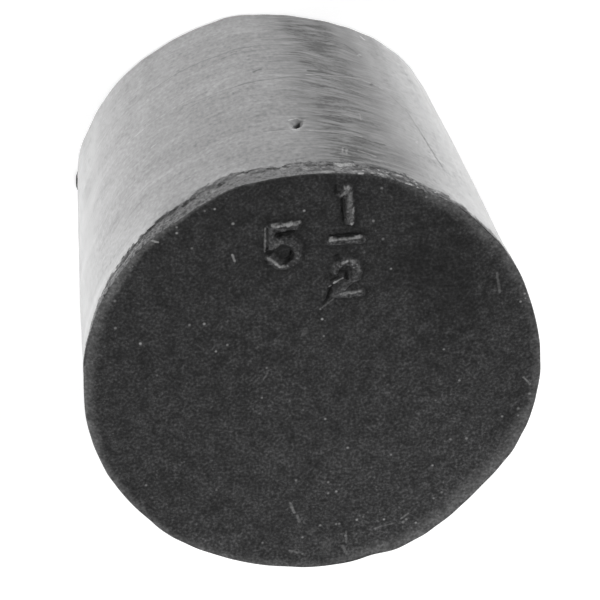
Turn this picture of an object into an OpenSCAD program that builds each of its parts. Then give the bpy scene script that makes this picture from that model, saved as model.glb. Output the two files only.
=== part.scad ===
// Tapered solid rubber stopper, size 5 1/2, moulded in one piece.
// The origin is the centre of the small end, which the stopper stands on. +Z runs up the axis to
// the large end, and +Y points to the side of the large face that carries the size number.

/* [Plug] */
// Diameter of the large end, before its rim is trimmed
large_end_d = 28; // [18:0.5:60]
// Diameter of the small end, where the line of the side meets its face
small_end_d = 24; // [12:0.5:50]
// Length from one end face to the other
plug_length = 25; // [12:0.5:60]

/* [Small end] */
// Radius that the mould leaves round the edge that enters the neck first
lead_edge_r = 0.4; // [0.1:0.1:3]

/* [Trimmed rim] */
// Depth of the deepest flat that the trimming knife leaves in the large end's rim
flat_depth = 0.2; // [0.05:0.05:1]

/* [Hidden] */
$fn = 180;

large_end_r = large_end_d / 2;
small_end_r = small_end_d / 2;
// Angle between the side and the axis
side_lean = atan2(large_end_r - small_end_r, plug_length);
// The lead edge's arc is tangent to the small face and to the side: its centre's distance from the
// axis, and the point where it runs into the side
arc_x = small_end_r - lead_edge_r * (1 - sin(side_lean)) / cos(side_lean);
arc_end = [arc_x + lead_edge_r * cos(side_lean), lead_edge_r * (1 - sin(side_lean))];

// Flats left by the trimming knife: bearing from +Y, clockwise as seen looking down on the large
// end, and depth as a share of the deepest one
knife_flats = [
    [-54, 0.5], [-36, 0.9], [-10, 0.4], [4, 0.8], [26, 0.4], [130, 1], [170, 0.5], [-112, 0.3]
];
// Distance that a cutting block runs past the rubber
overcut = 1;

rubber_grey = [0.24, 0.24, 0.25];

// Half of the section through the axis: straight tapered side, rounded lead edge
module half_section() {
    polygon([[0, 0], [arc_x, 0], arc_end, [large_end_r, plug_length], [0, plug_length]]);
    translate([arc_x, lead_edge_r]) circle(lead_edge_r);
}

// Everything outside one straight stroke of the knife, which runs parallel to the axis. The side
// tapers away from the stroke, so the flat dies out below the rim by itself.
module knife_stroke(depth) {
    width = 2 * (large_end_r + overcut);
    translate([-width / 2, large_end_r - depth, -overcut])
        cube([width, width, plug_length + 2 * overcut]);
}

module stopper() {
    color(rubber_grey)
        difference() {
            rotate_extrude() half_section();
            for (flat = knife_flats)
                rotate(-flat[0]) knife_stroke(flat[1] * flat_depth);
        }
}

stopper();
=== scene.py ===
"""Dresses a moulded rubber stopper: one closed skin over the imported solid, and the stage it stands on.

Shapes are worked out in millimetres and turned into metres when they become meshes. A bearing is an
angle about the axis in degrees, from +Y, where the size number is, towards +X.
"""

import math
from functools import partialmethod
from types import SimpleNamespace

import bpy
import numpy as np
from bpy.props import FloatProperty, FloatVectorProperty, IntProperty, PointerProperty
from mathutils import Matrix, Vector


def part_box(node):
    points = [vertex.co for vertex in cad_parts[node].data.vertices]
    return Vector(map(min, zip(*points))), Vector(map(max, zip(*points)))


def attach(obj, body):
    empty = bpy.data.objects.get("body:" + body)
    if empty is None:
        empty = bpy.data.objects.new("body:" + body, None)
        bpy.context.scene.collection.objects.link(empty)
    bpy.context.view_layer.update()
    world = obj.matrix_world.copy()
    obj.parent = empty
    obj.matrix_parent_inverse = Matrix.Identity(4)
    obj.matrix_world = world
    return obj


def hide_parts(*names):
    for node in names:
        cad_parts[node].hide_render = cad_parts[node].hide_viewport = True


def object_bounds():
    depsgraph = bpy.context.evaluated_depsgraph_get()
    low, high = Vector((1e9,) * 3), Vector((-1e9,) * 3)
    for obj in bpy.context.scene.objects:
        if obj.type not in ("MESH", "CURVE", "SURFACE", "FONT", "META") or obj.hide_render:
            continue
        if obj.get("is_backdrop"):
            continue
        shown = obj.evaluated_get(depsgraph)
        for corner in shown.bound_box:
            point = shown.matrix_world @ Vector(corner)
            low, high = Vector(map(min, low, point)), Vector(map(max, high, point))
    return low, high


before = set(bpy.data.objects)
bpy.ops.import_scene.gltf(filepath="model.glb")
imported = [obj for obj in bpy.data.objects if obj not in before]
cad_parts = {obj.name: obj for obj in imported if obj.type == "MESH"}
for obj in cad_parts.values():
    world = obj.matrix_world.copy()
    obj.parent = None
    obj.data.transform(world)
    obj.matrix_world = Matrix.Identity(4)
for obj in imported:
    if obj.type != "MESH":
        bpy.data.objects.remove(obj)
CAD_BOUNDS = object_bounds()

bl_info = {
    "name": "Rubber Stopper",
    "version": (1, 0, 0),
    "blender": (4, 5, 0),
    "location": "3D View > Sidebar > Stopper",
    "description": "Builds the skin of a moulded rubber stopper and the studio stage for it",
    "category": "Mesh",
}

MM = 0.001
SOLID_LOW, SOLID_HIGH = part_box("stopper")
LENGTH = (SOLID_HIGH[2] - SOLID_LOW[2]) / MM
LARGE_R = (SOLID_HIGH[0] - SOLID_LOW[0]) / 2 / MM
# Millimetres round the side to a degree, halfway up it, where its radius is 1 mm less
ARC = math.radians(LARGE_R - 1)

# Where the size number lies along X and along Y, as shares of the large face's radius
NUMBER_X, NUMBER_Y = (-0.29, 0.28), (0.35, 0.955)
# Share of the face's step at its -X edge, where the side's columns start, so that they are fine at the nub
LEFT_STEP = 0.55
# How far painted shade reaches from the size number's strokes, and how lumpy their tops are
SHADE_REACH, LUMPS = 0.35, 0.15
# How far the trimmed band's lower edge wanders up and down
TRIM_WANDER = 0.16
# Rings round the large face's edge, round the small end's edge and over the small face
RIM_RINGS, FOOT_RINGS, SMALL_FACE_RINGS = 4, 6, 7
# How far from the pit's middle, and how high above the small face, rings lie close together
PIT_BAND, FOOT_BAND = 0.9, 0.8
# The pit in the side: its middle, half its length and width, and its slant from upright in degrees
PIT = SimpleNamespace(bearing=0.1, height=17.85, half_length=0.5, half_width=0.24, slant=25)
# A nub at the small end's edge: half its width in degrees, how high it reaches and how far it stands out
NUB = SimpleNamespace(bearing=-86.3, half_width=2.8, height=0.6, reach=0.12)

# Numbers of the finishes on the mesh
FACE, SIDE, TORN = range(3)
# What the finishes read where these marks aren't worked out
ELSEWHERE = {"raised": 0.0, "shade": 0.0, "edge_dust": 1.0, "above_trim": -1.0, "trim_dust": 0.0}
# Share of a stroke's half width, and of a dot's radius, that is marked in full
STROKE_CORE, DOT_CORE = 0.4, 0.3
# How far apart noises and specks lie in their patterns from one seed to the next
NOISE_STEP, SPECK_STEP = (17.3, 9.1, 5.7), (7.9, 3.3, 11.1)
# Middle of the large face's thumbed patch
THUMBED = (8.5, 6.0, 0.0)
# Bearing and spread of the side's dark strip, painted shade with some handling wear, of the paler flank on
# each side, partly a chalky film and partly a painted reflection of the grazing edges, and of a rubbed corner
HANDLING_AND_SHADE, PAINTED_REFLECTION_AND_BLOOM_LEFT, PAINTED_REFLECTION_AND_BLOOM_RIGHT, RUBBED = (13.0, 10.5), (-98.0, 22.0), (70.0, 17.0), (56.0, 6.0)
# The same for a dark line along the rim, then height and spread of the rubbed corner and of the line
RIM_LINE, RUBBED_HEIGHT, RIM_LINE_HEIGHT = (50.0, 14.0), (1.6, 1.3), (24.95, 0.1)
# Degrees from +Y over which the side's back begins, and bearings over which the torn edge grows calm
BACK, CALM = (72.0, 95.0), (20.0, 38.0)
# Shreds of the torn edge, as drawn_out takes them
SHREDS = (2.4, 3.6, 4.0, 0.7, 11)

# How far the large end's rim lies outside its radius, at bearings round it, listed after radii that a
# program measured on the photograph
RIM_OUTLINE = (
    (-180, 0.1), (-172, 0.01), (-164, -0.01), (-156, 0.02), (-148, 0.1), (-140, 0.2), (-132, 0.08),
    (-124, 0.08), (-112, 0.14), (-100, 0.1), (-90, 0.07), (-80, 0.15), (-72, 0.1), (-64, 0.14), (-56, 0.11),
    (-48, 0.1), (-42, 0.02), (-36, -0.08), (-28, 0.02), (-20, 0.15), (-12, 0), (-4, -0.05), (4, -0.05),
    (10, 0), (16, 0.08), (24, 0.08), (32, 0.02), (40, 0.1), (48, 0.06), (56, 0.15), (64, 0.12), (72, 0.08),
    (80, 0.05), (88, 0.12), (96, 0.18), (106, 0.24), (116, 0.15), (124, 0), (130, -0.11), (136, -0.06),
    (144, 0.03), (152, 0.17), (159, 0.29), (164, 0), (169, 0.15), (175, 0.13),
)
# The same for the small end
FOOT_OUTLINE = (
    (-180, 0.05), (-130, 0.05), (-118, -0.1), (-108, -0.21), (-99, -0.22), (-94, -0.16), (-89, -0.02),
    (-84, 0.04), (-79, 0.12), (-75, 0.13), (-68, 0.04), (-60, 0.1), (-50, 0.13), (-42, 0.06), (-34, -0.05),
    (-26, -0.01), (-18, 0.02), (-8, 0.15), (0, 0.04), (6, -0.07), (14, -0.15), (22, -0.07), (30, 0.03),
    (38, 0.17), (50, 0.24), (58, 0.12), (68, -0.03), (80, 0), (120, 0.05), (150, 0),
)
# Lower edge of the rough band where the rim was trimmed: bearing and height
TRIM_EDGE = (
    (-180, 25.3), (-95, 25.3), (-84, 25.2), (-76, 24.75), (-68, 24.3), (-60, 23.9), (-50, 23.6),
    (-40, 23.25), (-30, 23.15), (-20, 23.1), (-10, 23.4), (0, 23.5), (10, 23.5), (20, 23.7), (30, 24.1),
    (38, 24.2), (46, 24.3), (54, 24.4), (62, 24.65), (70, 25), (76, 25.3), (130, 25.3),
)
# How dusty the rough band is, from 0, raw and dark, to 1, pale: bearing and share
TRIM_DUST = (
    (-180, 0.5), (-104, 0.6), (-92, 0), (-84, 0), (-74, 0.9), (-62, 0.6), (-46, 0.5), (-32, 0.6),
    (-20, 0.85), (-8, 0.9), (2, 0.75), (12, 0.6), (22, 0.4), (32, 0.25), (45, 0.15), (60, 0.15), (75, 0.5),
    (110, 0.5),
)
# How far in from the rim the large face is dusty, and how much: bearing, width and share
RIM_DUST = (
    (-180, 0.5, 0.7), (-120, 0.5, 0.7), (-95, 0.8, 0.8), (-80, 1, 0.8), (-62, 0.8, 0.9), (-48, 0.5, 1),
    (-38, 0.35, 1), (-28, 0.1, 0.7), (-10, 0.1, 0.5), (15, 0.15, 0.3), (32, 0.8, 0.6), (48, 0.9, 0.8),
    (62, 0.8, 0.7), (75, 0.6, 0.5), (95, 0.6, 0.6), (112, 1.2, 1), (140, 1.5, 1), (160, 1.2, 1),
)
# How far the face's edge is rolled over: bearing and drop
RIM_ROLL = (
    (-180, 0), (-125, 0.03), (-105, 0.1), (-85, 0.15), (-65, 0.15), (-50, 0.1), (-38, 0.05), (-26, 0),
    (-5, 0), (30, 0.02), (60, 0.03), (110, 0.03), (150, 0.02),
)

# Straight strokes of the moulded size number: x and y of both ends, and half the width
STRAIGHT_STROKES = (
    (-2.45, 10.40, -0.98, 10.46, 0.27),  # 5, top bar
    (-2.50, 10.35, -2.56, 9.20, 0.24),  # 5, stem
    (2.13, 12.80, 2.28, 10.55, 0.25),  # 1, stem
    (2.08, 12.80, 1.66, 12.42, 0.17),  # 1, flag
    (1.08, 9.20, 2.98, 9.22, 0.25),  # fraction bar
    (2.72, 6.72, 1.52, 5.66, 0.24),  # 2, diagonal
    (1.42, 5.50, 2.92, 5.50, 0.24),  # 2, foot
)
# Curved strokes: x and y of the centre, radius, first and last angle from +X, and half the width
CURVED_STROKES = (
    (-1.74, 8.62, 0.86, -158, 140, 0.27),  # 5, bowl
    (2.05, 7.05, 0.72, -20, 175, 0.24),  # 2, top
)
# Crests of the size number painted pale, partly rubbed wear and partly painted highlights on the edges that
# face the light, and a burr on the 2: x and y of both ends, half the width, and strength
NUMBER_CRESTS = (
    (-2.45, 10.58, -0.75, 10.66, 0.08, 0.5), (-1.55, 10.6, -1.3, 10.64, 0.1, 1),
    (-2.05, 10.55, -1.9, 10.56, 0.09, 0.9), (-2.86, 10.35, -2.88, 8.8, 0.04, 0.35),
    (-2.7, 8.33, -2.43, 8.21, 0.1, 0.4), (-2.43, 8.21, -2.05, 7.8, 0.1, 0.6),
    (-2.05, 7.8, -1.75, 7.74, 0.09, 0.5), (1.05, 9.36, 2.95, 9.41, 0.04, 0.6),
    (1.05, 9.34, 1.2, 9.34, 0.09, 1), (2.55, 9.41, 2.85, 9.42, 0.06, 0.8),
    (1.75, 5.58, 2.9, 5.64, 0.05, 0.5), (1.78, 7.72, 2.05, 7.84, 0.08, 0.5),
    (2.05, 7.84, 2.1, 7.84, 0.08, 0.9), (2.3, 7.84, 2.6, 7.76, 0.1, 0.35), (2.75, 7.4, 2.84, 7, 0.1, 0.2),
    (2.22, 12.5, 2.3, 10.7, 0.2, 0.25), (1.75, 12.33, 2.12, 12.74, 0.11, 0.45),
    (2, 12.88, 2.16, 12.92, 0.12, 0.6), (2.46, 11.4, 2.36, 10.45, 0.1, 0.3),
    (2.4, 11.2, 2.44, 11.4, 0.05, 0.6), (2.36, 10.4, 2.42, 10.45, 0.08, 0.9),
    (1.9, 5.5, 2, 5.52, 0.08, 0.6), (1.3, 6.24, 1.42, 6.32, 0.05, 1), (1.42, 6.32, 1.87, 6.56, 0.03, 0.7),
    (1.08, 6.05, 1.12, 6.08, 0.06, 0.6), (-2.3, 9.2, -1.9, 9.4, 0.15, 0.2),
)
# Grooves beside the strokes, and the gouge across the 2, painted near black as the shade in them
NUMBER_GROOVES = (
    (-2.2, 9.85, -1.13, 10.02, 0.09, 1), (-2.72, 10.3, -2.74, 8.95, 0.06, 0.9),
    (-2.74, 8.66, -2.45, 8.7, 0.07, 0.6), (-1.24, 8.6, -1.28, 8.3, 0.13, 0.8),
    (-1.28, 8.3, -1.75, 7.9, 0.12, 0.9), (-2.77, 8.08, -2.7, 8.02, 0.09, 0.6),
    (1.08, 9.53, 2.87, 9.57, 0.06, 0.95), (1.86, 12, 1.88, 11.2, 0.12, 0.8),
    (1.88, 11.2, 1.92, 10.6, 0.08, 0.5), (1.44, 12.95, 1.42, 12.5, 0.11, 0.7),
    (1.45, 8.1, 1.6, 8.15, 0.12, 0.7), (1.2, 7.4, 1.15, 6.8, 0.1, 0.5), (1.15, 6.42, 1.62, 6.7, 0.05, 0.8),
    (1.65, 7.04, 2.1, 6.95, 0.14, 0.7), (2.1, 6.95, 2.08, 6.62, 0.14, 0.9), (1.28, 6.1, 1, 5.9, 0.07, 0.8),
    (1.15, 5.83, 0.95, 5.25, 0.12, 0.9), (0.95, 5.25, 0.7, 4.85, 0.09, 0.7),
    (2.05, 6.2, 2.3, 6.05, 0.12, 0.4),
)
# Marks on the side. Each is a stroke: bearing and height of both ends, half its width, and its strength
# The first two strokes paint shade into the pit; the rest are dark nick marks
SIDE_NICKS_AND_PIT_SHADE = (
    (-1.5, 18.4, -0.2, 17.95, 0.06, 0.8), (-0.2, 17.95, 0.7, 17.5, 0.14, 1),
    (6.4, 22.4, 8.5, 22.15, 0.1, 0.8), (17.8, 19.85, 19.6, 19.75, 0.07, 0.7),
    (19.6, 19.75, 21.9, 19.7, 0.12, 0.95), (40.8, 18.6, 38.2, 14.8, 0.09, 0.7),
    (38.2, 14.8, 36, 11.9, 0.06, 0.5), (36, 11.9, 32, 10.3, 0.05, 0.5), (-7.3, 9.5, -5.2, 9.2, 0.09, 0.65),
    (8.4, 9.5, 12.6, 9.45, 0.21, 1), (26.2, 9.75, 27.2, 9.5, 0.1, 0.9),
    (-29.7, 10.6, -22.9, 11.1, 0.09, 0.22), (-22.9, 11.1, -13.5, 11.1, 0.09, 0.28),
    (-13.5, 11.1, -1, 10.8, 0.09, 0.42), (-1, 10.8, 14, 9.9, 0.1, 0.5), (14, 9.9, 24, 9.5, 0.07, 0.5),
    (24, 9.5, 34, 10.4, 0.07, 0.3), (-72, 5.5, -38, 5.6, 0.1, 0.22), (-38, 5.6, -7, 5.6, 0.1, 0.38),
    (-7, 5.6, 12, 5.25, 0.07, 0.25), (-45.8, 4.75, -43.6, 4.8, 0.14, 0.35),
    (23.4, 3.7, 25.4, 4.3, 0.1, 0.8), (25.4, 4.3, 27.4, 5.1, 0.1, 0.6), (26.4, 3.8, 27.6, 4.3, 0.09, 0.4),
    (-9, 18.3, 4, 19.2, 0.04, 0.3), (4, 19.2, 17, 19.65, 0.06, 0.45), (-51.5, 17.1, -48, 17.15, 0.06, 0.4),
    (15, 3.2, 20, 3.1, 0.08, 0.5), (-50, 19.3, -46, 19.2, 0.05, 0.3), (-27.5, 11.3, -22, 11.4, 0.04, 0.3),
    (-12, 5.9, -10.5, 5.9, 0.07, 0.4),
)
# Soft dark smears
SIDE_SMEARS = (
    (9.5, 15.4, 11.8, 15.4, 0.12, 0.8), (9.8, 11.1, 11.6, 11, 0.15, 0.8),
    (14.5, 10.8, 18.5, 10.6, 0.15, 0.8), (17.5, 7.5, 20, 7.5, 0.15, 0.9), (14, 22.2, 17.5, 22.3, 0.2, 0.8),
    (7.5, 5.6, 14, 5.5, 0.12, 0.6), (15, 17.7, 22, 17.4, 0.12, 0.6), (8, 16.3, 13, 16.2, 0.15, 0.6),
    (45, 4.7, 47.5, 4.5, 0.15, 0.6),
)
# Pale scrapes
SIDE_SCRAPES = (
    (9.3, 22, 9.9, 21.3, 0.05, 0.3), (10.2, 22.2, 10.7, 21.5, 0.05, 0.3),
    (13.8, 21.5, 17.8, 21.95, 0.11, 0.25), (-10, 18.5, 3, 18.95, 0.06, 0.2),
    (3, 18.95, 16.2, 19.25, 0.08, 0.25), (18, 16.5, 18.3, 15.4, 0.04, 0.12),
    (-3, 14.75, 1.2, 14.8, 0.1, 0.15), (7.1, 10.15, 15, 9.75, 0.06, 0.2), (15, 9.75, 23.6, 9.2, 0.07, 0.25),
    (23.6, 9.2, 30, 9.7, 0.06, 0.15), (-21, 10.8, -18.5, 9.95, 0.28, 0.12),
    (-18.5, 9.95, -15, 9.4, 0.22, 0.1), (8.6, 9.2, 10.8, 9.1, 0.05, 0.25), (31.2, 1, 31.9, 1.3, 0.1, 0.8),
    (26.6, 5, 27.4, 4.7, 0.12, 0.3), (-1.7, 17.25, 0.4, 16.98, 0.08, 0.4),
    (0.4, 16.98, 2.2, 17.3, 0.09, 0.35), (1.2, 17.5, 1, 18.2, 0.05, 0.4), (48.5, 3.4, 53.5, 3.2, 0.18, 0.6),
    (43, 2.6, 52, 1.7, 0.3, 0.3), (52, 1.7, 61, 0.5, 0.35, 0.9), (33.8, 17, 34.5, 16.6, 0.06, 0.3),
    (17.5, 4.3, 19.5, 3.9, 0.2, 0.15), (-40, 13.5, -38.8, 13.5, 0.09, 0.25),
    (-31, 20.6, -30.6, 20.6, 0.08, 0.4), (-20.8, 18.1, -17.9, 18, 0.07, 0.2),
    (-48, 10.1, -24, 10.2, 0.05, 0.15),
)
# Pale scrapes on the trimmed band
TRIM_SCRAPES = (
    (-88, 24.3, -70, 24.4, 0.05, 0.6), (-70, 24.4, -54, 24.3, 0.06, 0.4),
    (-54, 24.35, -47, 24.3, 0.07, 0.35), (-43, 24.3, -38, 24.2, 0.08, 0.25),
    (-31, 24.3, -27, 24.45, 0.08, 0.25), (7, 23.85, 10.4, 23.75, 0.26, 0.75),
    (7.3, 24, 7.8, 23.95, 0.13, 1), (10.5, 24.7, 11, 24.6, 0.12, 0.9), (11.8, 25, 12.5, 24.9, 0.1, 0.9),
    (15, 24.75, 15.5, 24.65, 0.07, 0.7), (17.2, 24.75, 17.7, 24.65, 0.07, 0.7),
    (24.2, 25.1, 25.2, 25, 0.12, 1), (-25.2, 24.15, -24.6, 24.2, 0.14, 0.6),
    (-17.4, 23.65, -16.8, 23.6, 0.12, 0.7), (2.5, 24.85, 5, 24.8, 0.1, 0.5),
    (-6.9, 23.95, -6.5, 23.9, 0.1, 0.7), (-12.9, 24.1, -12.3, 24.1, 0.1, 0.5),
    (-5.4, 23.6, -5, 23.55, 0.08, 0.6), (19.3, 24.15, 19.8, 24, 0.09, 0.7),
    (22.3, 24.25, 22.9, 24.05, 0.1, 0.8), (-1.4, 24.3, -0.8, 24.3, 0.1, 0.5),
    (26.5, 24.25, 27.2, 24.1, 0.09, 0.6), (32.6, 24.5, 33.8, 24.2, 0.09, 0.8),
    (44, 24.75, 45.2, 24.5, 0.09, 0.5),
)
# Dark tear marks in the trimmed band, painted near black partly as the shadow of their overhangs
TRIM_TEARS_AND_SHADOWS = (
    (-53.7, 24.05, -52.2, 24, 0.17, 0.8), (-51, 23.85, -48.2, 23.8, 0.12, 0.6),
    (-46.8, 23.65, -45.2, 23.65, 0.14, 0.5), (-44.6, 23.6, -42.8, 23.65, 0.17, 0.8),
    (-41.2, 23.5, -39.4, 23.5, 0.17, 0.9), (-39, 23.55, -37.6, 23.6, 0.14, 0.7),
    (-37, 23.5, -35.4, 23.5, 0.17, 0.8), (-33.3, 23.7, -32, 23.6, 0.2, 1),
    (-31.6, 23.65, -30.4, 23.7, 0.13, 0.8), (-29.8, 23.5, -28, 23.45, 0.12, 0.5),
    (-26.3, 23.45, -24.6, 23.5, 0.14, 0.6), (-25.6, 23.7, -23.4, 23.75, 0.09, 0.5),
    (-23.4, 23.9, -22.3, 23.85, 0.2, 0.9), (-20.5, 23.65, -18.4, 23.55, 0.12, 0.4),
    (-17.2, 23.4, -14.6, 23.25, 0.22, 0.6), (-14.4, 23.75, -11.4, 23.8, 0.13, 0.45),
    (-9.9, 23.65, -8.2, 23.65, 0.17, 0.6), (-7.9, 23.7, -6.9, 23.65, 0.14, 0.6),
    (-6.5, 23.65, -5.7, 23.65, 0.17, 0.68), (-3, 23.5, -1.8, 23.5, 0.08, 0.4),
    (-0.4, 23.95, 1, 23.9, 0.09, 0.6), (2.4, 24, 4.2, 23.9, 0.12, 0.6), (4.6, 23.85, 6.3, 23.9, 0.1, 0.7),
    (3.2, 24.5, 4.6, 24.4, 0.15, 0.5), (0, 24.6, 1.5, 24.5, 0.12, 0.4), (10.8, 24.4, 12.6, 24.3, 0.12, 0.6),
    (13.2, 24.9, 16, 24.8, 0.15, 0.7), (15.5, 23.8, 17.2, 23.75, 0.12, 0.8),
    (17.6, 23.75, 19.2, 23.7, 0.1, 0.7), (20.5, 24.6, 23.5, 24.6, 0.2, 0.6),
    (-57.5, 24.1, -55.5, 24.1, 0.06, 0.5), (-62, 24.25, -60, 24.2, 0.06, 0.5),
)
# Marks on the large face, in the same way but with x and y of both ends
FACE_SCRATCHES = (
    (1.31, 5.17, 0.49, 4.5, 0.03, 0.28), (-0.4, 3.2, -0.55, 2.75, 0.14, 0.12),
    (-9.78, 9.96, -9.32, 9.86, 0.05, 0.9), (-4.86, 8.66, -4.7, 8.22, 0.05, 0.8),
    (-1.38, -9.2, -1.1, -9.9, 0.07, 0.5), (-0.95, -10.15, -0.82, -10.65, 0.08, 0.4),
    (2.1, -11.6, 2.15, -12.4, 0.05, 0.35), (1, -12.3, 0.8, -13, 0.45, 0.09),
    (1.9, -12.6, 2.4, -13.7, 0.08, 0.3), (-1.4, -12.7, -0.9, -12.9, 0.07, 0.4),
    (-0.1, -11.5, 0.2, -11.2, 0.2, 0.13), (5.6, -10.9, 6, -10.6, 0.05, 0.5),
    (-2.7, 0.4, -3, -0.2, 0.04, 0.2), (13.1, -1.3, 13.5, -1.8, 0.06, 0.6),
    (11.3, 6.2, 11.5, 4.9, 0.08, 0.25), (3.9, -11.5, 5.2, -11.2, 0.03, 0.25),
)
# Dust specks on the large face: the strength of each group, and x, y and radius of its specks. This
# table is no example to follow: a detector run on the photograph made all of it but seven specks
FACE_SPECKS = {
    1.0: ((-10.5, 2.9, 0.09), (0.6, 3.8, 0.08), (4.5, -10.9, 0.07),),
    0.9: ((2.8, -10.8, 0.08), (6.5, -11.3, 0.07), (13.05, 4.63, 0.07),),
    0.8: ((-5.9, 11.9, 0.07), (1.5, -8.6, 0.08), (7.5, -7.2, 0.07), (-8.2, 10.4, 0.08), (-6.6, 4, 0.09),
        (-5.9, 2, 0.07), (12.8, 4.1, 0.07), (-0.5, 11.4, 0.08),),
    0.7: ((-4.8, 10.8, 0.1), (4.8, 7, 0.07), (-0.6, -11.8, 0.07), (2.2, -5.5, 0.08), (0.8, -3.3, 0.08),),
    0.6: ((5.9, -11, 0.09), (11.8, -4, 0.08), (0.5, -11, 0.08), (9.1, -1.2, 0.08), (8.1, 1.1, 0.07),
        (9.6, -5.4, 0.1), (13.5, -2.5, 0.1), (1, -7.9, 0.08), (-8.2, 10.8, 0.07), (4.9, -6.2, 0.07),
        (-5.2, 2.4, 0.08), (7.6, -9.6, 0.06), (1, -8.7, 0.07), (-3.1, -1.5, 0.06), (13.1, 4.3, 0.06),),
    0.5: ((0.49, 4.5, 0.06), (1.5, -11, 0.08), (-3.1, -12, 0.07), (-7.5, 4, 0.08), (1.7, -11, 0.08),
        (-1, -7.6, 0.08), (0.7, 2.6, 0.07), (-2.8, 0.6, 0.06), (8.1, -9.2, 0.08), (8.6, -5.4, 0.09),
        (2.1, -11.9, 0.1), (6.9, 11.8, 0.09), (5.7, -11.2, 0.11), (7.9, -10.9, 0.07), (8.6, -10.4, 0.07),
        (-10.3, -7.2, 0.08), (3.7, 10.4, 0.09), (-12, 4.1, 0.1), (12.8, -4, 0.08), (13.35, 4, 0.06),),
    0.4: ((4.3, 9.1, 0.09), (3.2, -10.6, 0.07), (-12, 6, 0.1), (-7.3, 9.3, 0.08), (9.5, -9.5, 0.09),
        (4.2, 12.6, 0.09), (12.8, -3.5, 0.1), (8.8, -10.2, 0.09), (12.8, 5.2, 0.06), (9.5, -9.1, 0.07),
        (-10.9, 8.3, 0.07), (-6.5, 11.8, 0.06),),
}

# Lamps: name, bearing, height in degrees, side in metres and power in watts
LAMPS = (("key", 60, 35, 0.25, 1.5), ("fill", -110, 20, 0.4, 2.4))
# Metres from the lamps to the stopper, from the floor's middle to its edges, and from the floor up to the
# small face, so that they don't share a plane
LAMP_DISTANCE, FLOOR_HALF, FLOOR_DROP = 0.5, 1.5, 0.00002


# ---------------------------------------------------------------- shapes

def smooth_step(value, low, high):
    """0 below low, 1 above high, and 3t^2 - 2t^3 between them."""
    t = np.clip((value - low) / (high - low), 0, 1)
    return t * t * (3 - 2 * t)


def turn_from(bearing, place):
    """Degrees from place to bearing, the shorter way round."""
    return (bearing - place + 180) % 360 - 180


def eased_round(bearing, table, spread=4):
    """A value that varies smoothly round the axis: the mean of the table's values, each weighted by a bell
    curve, exp(-(turn / spread)^2), of its bearing."""
    places, values = np.array(table).T
    weight = np.exp(-((turn_from(np.asarray(bearing)[..., None], places) / spread) ** 2)) + 1e-12
    return (weight * values).sum(-1) / weight.sum(-1)


def rough_field(points, longest, shortest, seed, count=48):
    """A random field over points in space, about 1 high: the sum of cosine waves in random directions, with
    wavelengths spread evenly in octaves from longest to shortest."""
    rng = np.random.default_rng(seed)
    heading = rng.normal(size=(count, 3))
    heading /= np.linalg.norm(heading, axis=1)[:, None]
    wavelength = longest * (shortest / longest) ** rng.random(count)
    phase = rng.random(count) * 2 * math.pi
    waves = np.cos(points @ (heading * (2 * math.pi / wavelength)[:, None]).T + phase)
    return waves.sum(-1) * math.sqrt(2 / count)


def from_straight(x, y, x0, y0, x1, y1):
    """Distance to a straight line between two ends."""
    run_x, run_y = x1 - x0, y1 - y0
    share = np.clip(((x - x0) * run_x + (y - y0) * run_y) / (run_x**2 + run_y**2), 0, 1)
    return np.hypot(x - x0 - share * run_x, y - y0 - share * run_y)


def from_curved(x, y, centre_x, centre_y, radius, first, last):
    """Distance to an arc, whose nearest point has the same angle about the centre, held between its ends."""
    middle, half = math.radians((first + last) / 2), math.radians((last - first) / 2)
    turn = (np.arctan2(y - centre_y, x - centre_x) - middle + math.pi) % (2 * math.pi) - math.pi
    angle = middle + np.clip(turn, -half, half)
    return np.hypot(x - centre_x - radius * np.cos(angle), y - centre_y - radius * np.sin(angle))


def marked(x, y, table, blur):
    """How strongly straight strokes of a table mark each point: strength * a smooth step down from each
    stroke's core to past its half width."""
    share = np.zeros_like(x)
    for *ends, half, strength in table:
        distance = from_straight(x, y, *ends)
        share = np.maximum(share, strength * (1 - smooth_step(distance, half * STROKE_CORE, half + blur)))
    return share


def size_number(x, y, look):
    """How raised the size number is at each point, how deep its grooves are and how dark the painted shade
    round it is, from 0 to 1. Across a stroke the rise is a smooth step down over its shoulder, and the
    painted shade fades out as exp(-(distance / reach)^2). The strokes' edges wander a little."""
    flat = np.stack([x, y, np.zeros_like(x)], -1)
    x = x + look.figure_wander * rough_field(flat, 1.2, 0.3, seed=21)
    y = y + look.figure_wander * rough_field(flat, 1.2, 0.3, seed=22)
    shoulder = look.figure_shoulder / 2
    raised, shade = np.zeros_like(x), np.zeros_like(x)
    for distance_from, table in ((from_straight, STRAIGHT_STROKES), (from_curved, CURVED_STROKES)):
        for *shape, half in table:
            distance = distance_from(x, y, *shape)
            raised = np.maximum(raised, 1 - smooth_step(distance, half - shoulder, half + shoulder))
            shade = np.maximum(shade, np.exp(-((np.maximum(distance - half, 0) / SHADE_REACH) ** 2)))
    lumps = 1 + LUMPS * rough_field(flat, 0.9, 0.25, seed=23)
    return raised * lumps, marked(x, y, NUMBER_GROOVES, blur=0.06), shade * (1 - raised)


def graded_lines(low, fine_low, fine_high, high, step_below, fine_step, step_above):
    """Places of grid lines from low to high, with fine_step between fine_low and fine_high."""
    parts = ((low, fine_low, step_below), (fine_low, fine_high, fine_step), (fine_high, high, step_above))
    lines = [np.linspace(a, b, max(1, round((b - a) / step)), endpoint=False) for a, b, step in parts]
    return np.concatenate([*lines, [high]])


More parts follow.
